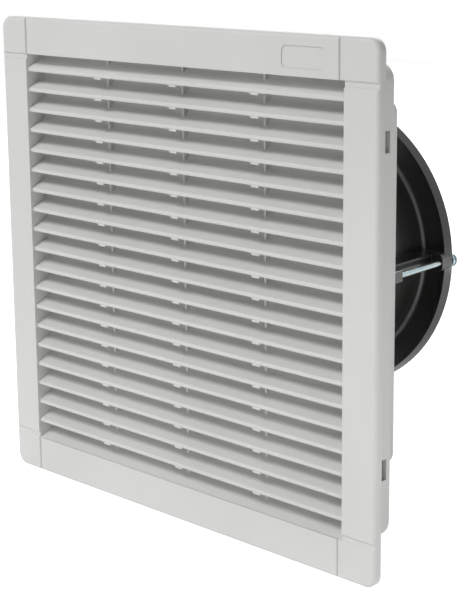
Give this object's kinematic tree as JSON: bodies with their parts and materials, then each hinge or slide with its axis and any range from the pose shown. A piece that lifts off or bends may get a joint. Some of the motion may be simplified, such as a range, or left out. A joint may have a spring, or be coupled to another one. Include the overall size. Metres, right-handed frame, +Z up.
{
  "type": "filter fan",
  "caption": "Square louvred filter fan for a cabinet wall: clip-on cover, filter mat, stepped housing with sprung panel catches and an axial fan behind.",
  "frame": {"origin": "centre of the panel cut-out on the panel's front surface, on the fan's axis", "axes": "+Y back into the cabinet along the fan's axis, +X to the right seen from the front, +Z up"},
  "size_m": [0.32, 0.1642, 0.32],
  "materials": {
    "abs_grey": "fine matt moulded ABS, light grey",
    "abs_dark": "matt moulded plastic, light grey",
    "filter_fibre": "bonded white polyester fibre",
    "foam": "closed-cell foam, black",
    "black_enamel": "die-cast aluminium in gloss black paint",
    "steel": "ground steel",
    "zinc": "blue zinc-plated steel",
    "copper": "varnished copper winding",
    "brass": "plain brass",
    "polyamide": "natural polyamide"
  },
  "bodies": {
    "fan_housing": {"filter_mat": "filter_fibre", "filter_grid": "abs_grey", "housing": "abs_grey", "panel_gasket": "foam", "catch_pins": "steel", "fan_frame": "black_enamel", "motor_spider": "black_enamel", "motor_end_cap": "black_enamel", "bearing_tube": "steel", "stator_stack": "steel", "windings": "copper", "front_bearing": "steel", "rear_bearing": "steel", "finger_guard": "zinc", "fan_screws": "zinc", "fan_washers": "zinc", "terminal_block": "polyamide", "terminal_clamps": "brass", "terminal_screws": "zinc", "block_screws": "zinc"},
    "cover": {"front_cover": "abs_grey"},
    "impeller": {"rotor_can": "black_enamel", "rotor_core": "steel", "shaft": "steel", "circlip": "steel", "impeller_hub": "black_enamel", "blade_1": "black_enamel", "blade_2": "black_enamel", "blade_3": "black_enamel", "blade_4": "black_enamel", "blade_5": "black_enamel", "blade_6": "black_enamel", "blade_7": "black_enamel"},
    "catch_right_top": {"catch_right_top": "abs_dark"},
    "catch_right_bottom": {"catch_right_bottom": "abs_dark"},
    "catch_left_top": {"catch_left_top": "abs_dark"},
    "catch_left_bottom": {"catch_left_bottom": "abs_dark"}
  },
  "joints": [
    {"name": "impeller_spin", "type": "hinge", "parent": "fan_housing", "child": "impeller", "pos_m": [0, 0.12, 0], "axis": [0, 1, 0], "continuous": true},
    {"name": "cover_pull", "type": "slide", "parent": "fan_housing", "child": "cover", "axis": [0, -1, 0], "range_m": [0, 0.06]},
    {"name": "catch_right_top_press", "type": "hinge", "parent": "fan_housing", "child": "catch_right_top", "pos_m": [0.1386, 0.019, 0.0985], "axis": [0, 0, -1], "range_deg": [0, 13], "stiffness_Nm_per_rad": 0.3, "springref_deg": -5.73},
    {"name": "catch_right_bottom_press", "type": "hinge", "parent": "fan_housing", "child": "catch_right_bottom", "pos_m": [0.1386, 0.019, -0.0985], "axis": [0, 0, -1], "range_deg": [0, 13], "stiffness_Nm_per_rad": 0.3, "springref_deg": -5.73},
    {"name": "catch_left_top_press", "type": "hinge", "parent": "fan_housing", "child": "catch_left_top", "pos_m": [-0.1386, 0.019, 0.0985], "axis": [0, 0, 1], "range_deg": [0, 13], "stiffness_Nm_per_rad": 0.3, "springref_deg": -5.73},
    {"name": "catch_left_bottom_press", "type": "hinge", "parent": "fan_housing", "child": "catch_left_bottom", "pos_m": [-0.1386, 0.019, -0.0985], "axis": [0, 0, 1], "range_deg": [0, 13], "stiffness_Nm_per_rad": 0.3, "springref_deg": -5.73}
  ]
}
